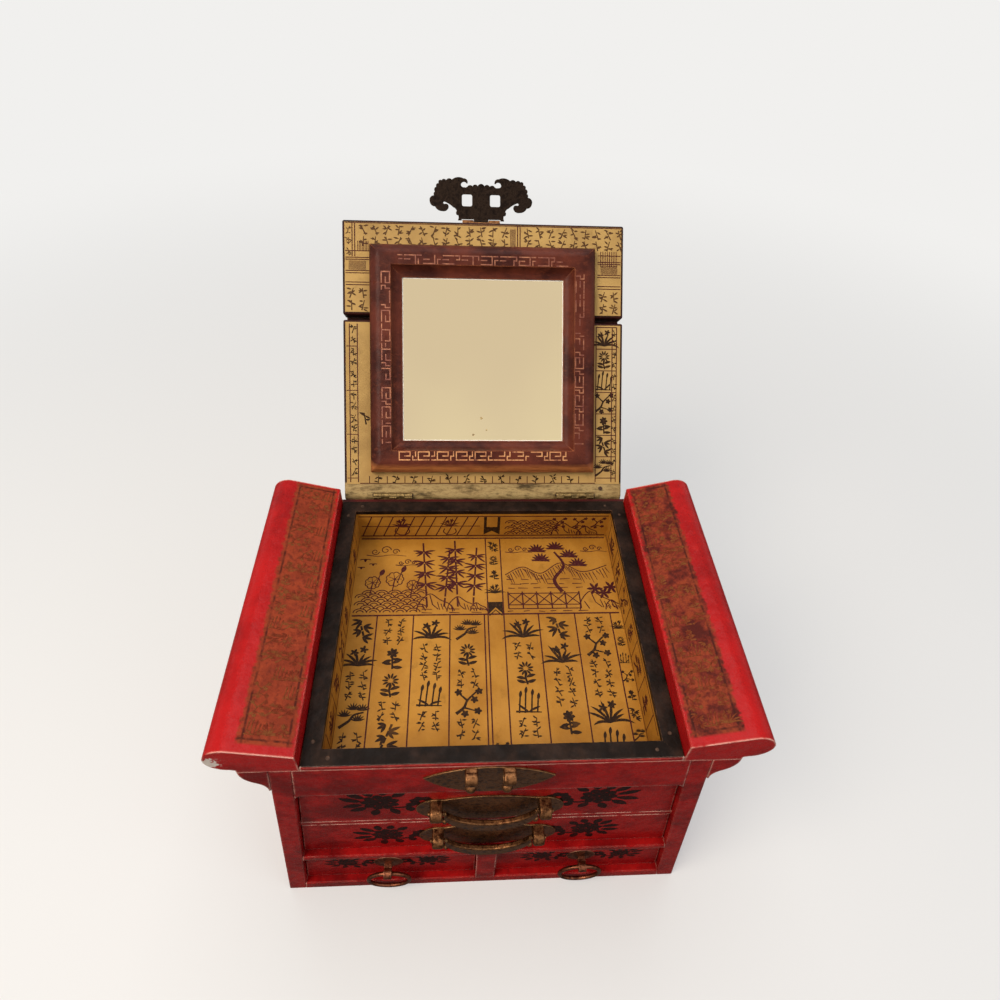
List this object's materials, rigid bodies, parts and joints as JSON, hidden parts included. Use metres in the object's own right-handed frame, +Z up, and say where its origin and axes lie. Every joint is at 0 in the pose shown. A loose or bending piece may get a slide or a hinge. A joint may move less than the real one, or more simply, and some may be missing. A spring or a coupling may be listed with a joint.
{
  "type": "makeup box",
  "caption": "Red lacquered makeup box with wings, a papered well under a two-leaf mirror lid with a bat-shaped hasp, and four drawers with brass pulls.",
  "frame": {"origin": "middle of the flat underside", "axes": "+Z up, the drawers face -Y, +X to the viewer's right"},
  "size_m": [0.2542, 0.3195, 0.3307],
  "materials": {
    "red_lacquer": "gloss",
    "black_lacquer": "gloss",
    "dark_lacquer": "gloss",
    "bare_wood": "matte",
    "gold_paper": "matte",
    "brass": "aged",
    "iron": "matte",
    "mirror": "polished"
  },
  "bodies": {
    "cabinet": {"side_board_left": "red_lacquer", "side_board_right": "red_lacquer", "back_panel": "bare_wood", "base_board": "bare_wood", "bottom_rail": "red_lacquer", "top_rail": "red_lacquer", "drawer_divider": "red_lacquer", "drawer_ledge": "red_lacquer", "centre_upright": "red_lacquer", "wing_left": "red_lacquer", "wing_right": "red_lacquer", "corbel_left": "red_lacquer", "corbel_right": "red_lacquer", "well_walls": "bare_wood", "well_floor": "bare_wood", "well_lining": "gold_paper", "rim_frame": "black_lacquer", "rim_nails": "iron", "rail_plate": "brass", "rail_eyes": "brass", "rail_studs": "brass", "lid_hinge_box_leaves": "brass", "lid_hinge_pins": "brass"},
    "lid_rear": {"lid_hinge_straps": "brass", "lid_rear_leaf": "red_lacquer", "lid_rear_paper": "gold_paper", "fold_hinge_rear_leaves": "brass", "fold_hinge_pins": "brass"},
    "lid_front": {"fold_hinge_front_leaves": "brass", "lid_front_leaf": "red_lacquer", "lid_front_paper": "gold_paper", "mirror_frame": "dark_lacquer", "mirror_glass": "mirror", "mirror_backing": "bare_wood", "hasp_hinge": "brass"},
    "hasp": {"hasp_plate": "brass"},
    "upper_drawer": {"upper_drawer_front": "red_lacquer", "upper_drawer_box": "bare_wood", "upper_drawer_bottom": "bare_wood", "upper_pull_plate": "brass", "upper_pull_eyes": "brass"},
    "upper_bail": {"upper_pull_bail": "brass"},
    "middle_drawer": {"middle_drawer_front": "red_lacquer", "middle_drawer_box": "bare_wood", "middle_drawer_bottom": "bare_wood", "middle_pull_plate": "brass", "middle_pull_eyes": "brass"},
    "middle_bail": {"middle_pull_bail": "brass"},
    "left_drawer": {"left_drawer_front": "red_lacquer", "left_drawer_box": "bare_wood", "left_drawer_bottom": "bare_wood", "left_ring_plate": "brass", "left_ring_eye": "brass"},
    "left_ring": {"left_ring_pull": "brass"},
    "right_drawer": {"right_drawer_front": "red_lacquer", "right_drawer_box": "bare_wood", "right_drawer_bottom": "bare_wood", "right_ring_plate": "brass", "right_ring_eye": "brass"},
    "right_ring": {"right_ring_pull": "brass"}
  },
  "joints": [
    {"name": "lid_hinge", "type": "hinge", "parent": "cabinet", "child": "lid_rear", "pos_m": [0, 0.0861, 0.19], "axis": [1, 0, 0], "range_deg": [0, 133.3]},
    {"name": "lid_fold", "type": "hinge", "parent": "lid_rear", "child": "lid_front", "pos_m": [0, 0.17012, 0.26232], "axis": [1, 0, 0], "range_deg": [-85, 0]},
    {"name": "hasp_swing", "type": "hinge", "parent": "lid_front", "child": "hasp", "pos_m": [-0.002, 0.20848, 0.31039], "axis": [1, 0, 0], "range_deg": [0, 90]},
    {"name": "upper_drawer_slide", "type": "slide", "parent": "cabinet", "child": "upper_drawer", "axis": [0, -1, 0], "range_m": [0, 0.12]},
    {"name": "middle_drawer_slide", "type": "slide", "parent": "cabinet", "child": "middle_drawer", "axis": [0, -1, 0], "range_m": [0, 0.12]},
    {"name": "left_drawer_slide", "type": "slide", "parent": "cabinet", "child": "left_drawer", "axis": [0, -1, 0], "range_m": [0, 0.12]},
    {"name": "right_drawer_slide", "type": "slide", "parent": "cabinet", "child": "right_drawer", "axis": [0, -1, 0], "range_m": [0, 0.12]},
    {"name": "upper_bail_swing", "type": "hinge", "parent": "upper_drawer", "child": "upper_bail", "pos_m": [0, -0.085, 0.13], "axis": [-1, 0, 0], "range_deg": [-5, 100]},
    {"name": "middle_bail_swing", "type": "hinge", "parent": "middle_drawer", "child": "middle_bail", "pos_m": [0, -0.085, 0.088], "axis": [-1, 0, 0], "range_deg": [-5, 100]},
    {"name": "left_ring_swing", "type": "hinge", "parent": "left_drawer", "child": "left_ring", "pos_m": [-0.0605, -0.0861, 0.0324], "axis": [-1, 0, 0], "range_deg": [0, 95]},
    {"name": "right_ring_swing", "type": "hinge", "parent": "right_drawer", "child": "right_ring", "pos_m": [0.0605, -0.0861, 0.0324], "axis": [-1, 0, 0], "range_deg": [0, 95]}
  ]
}
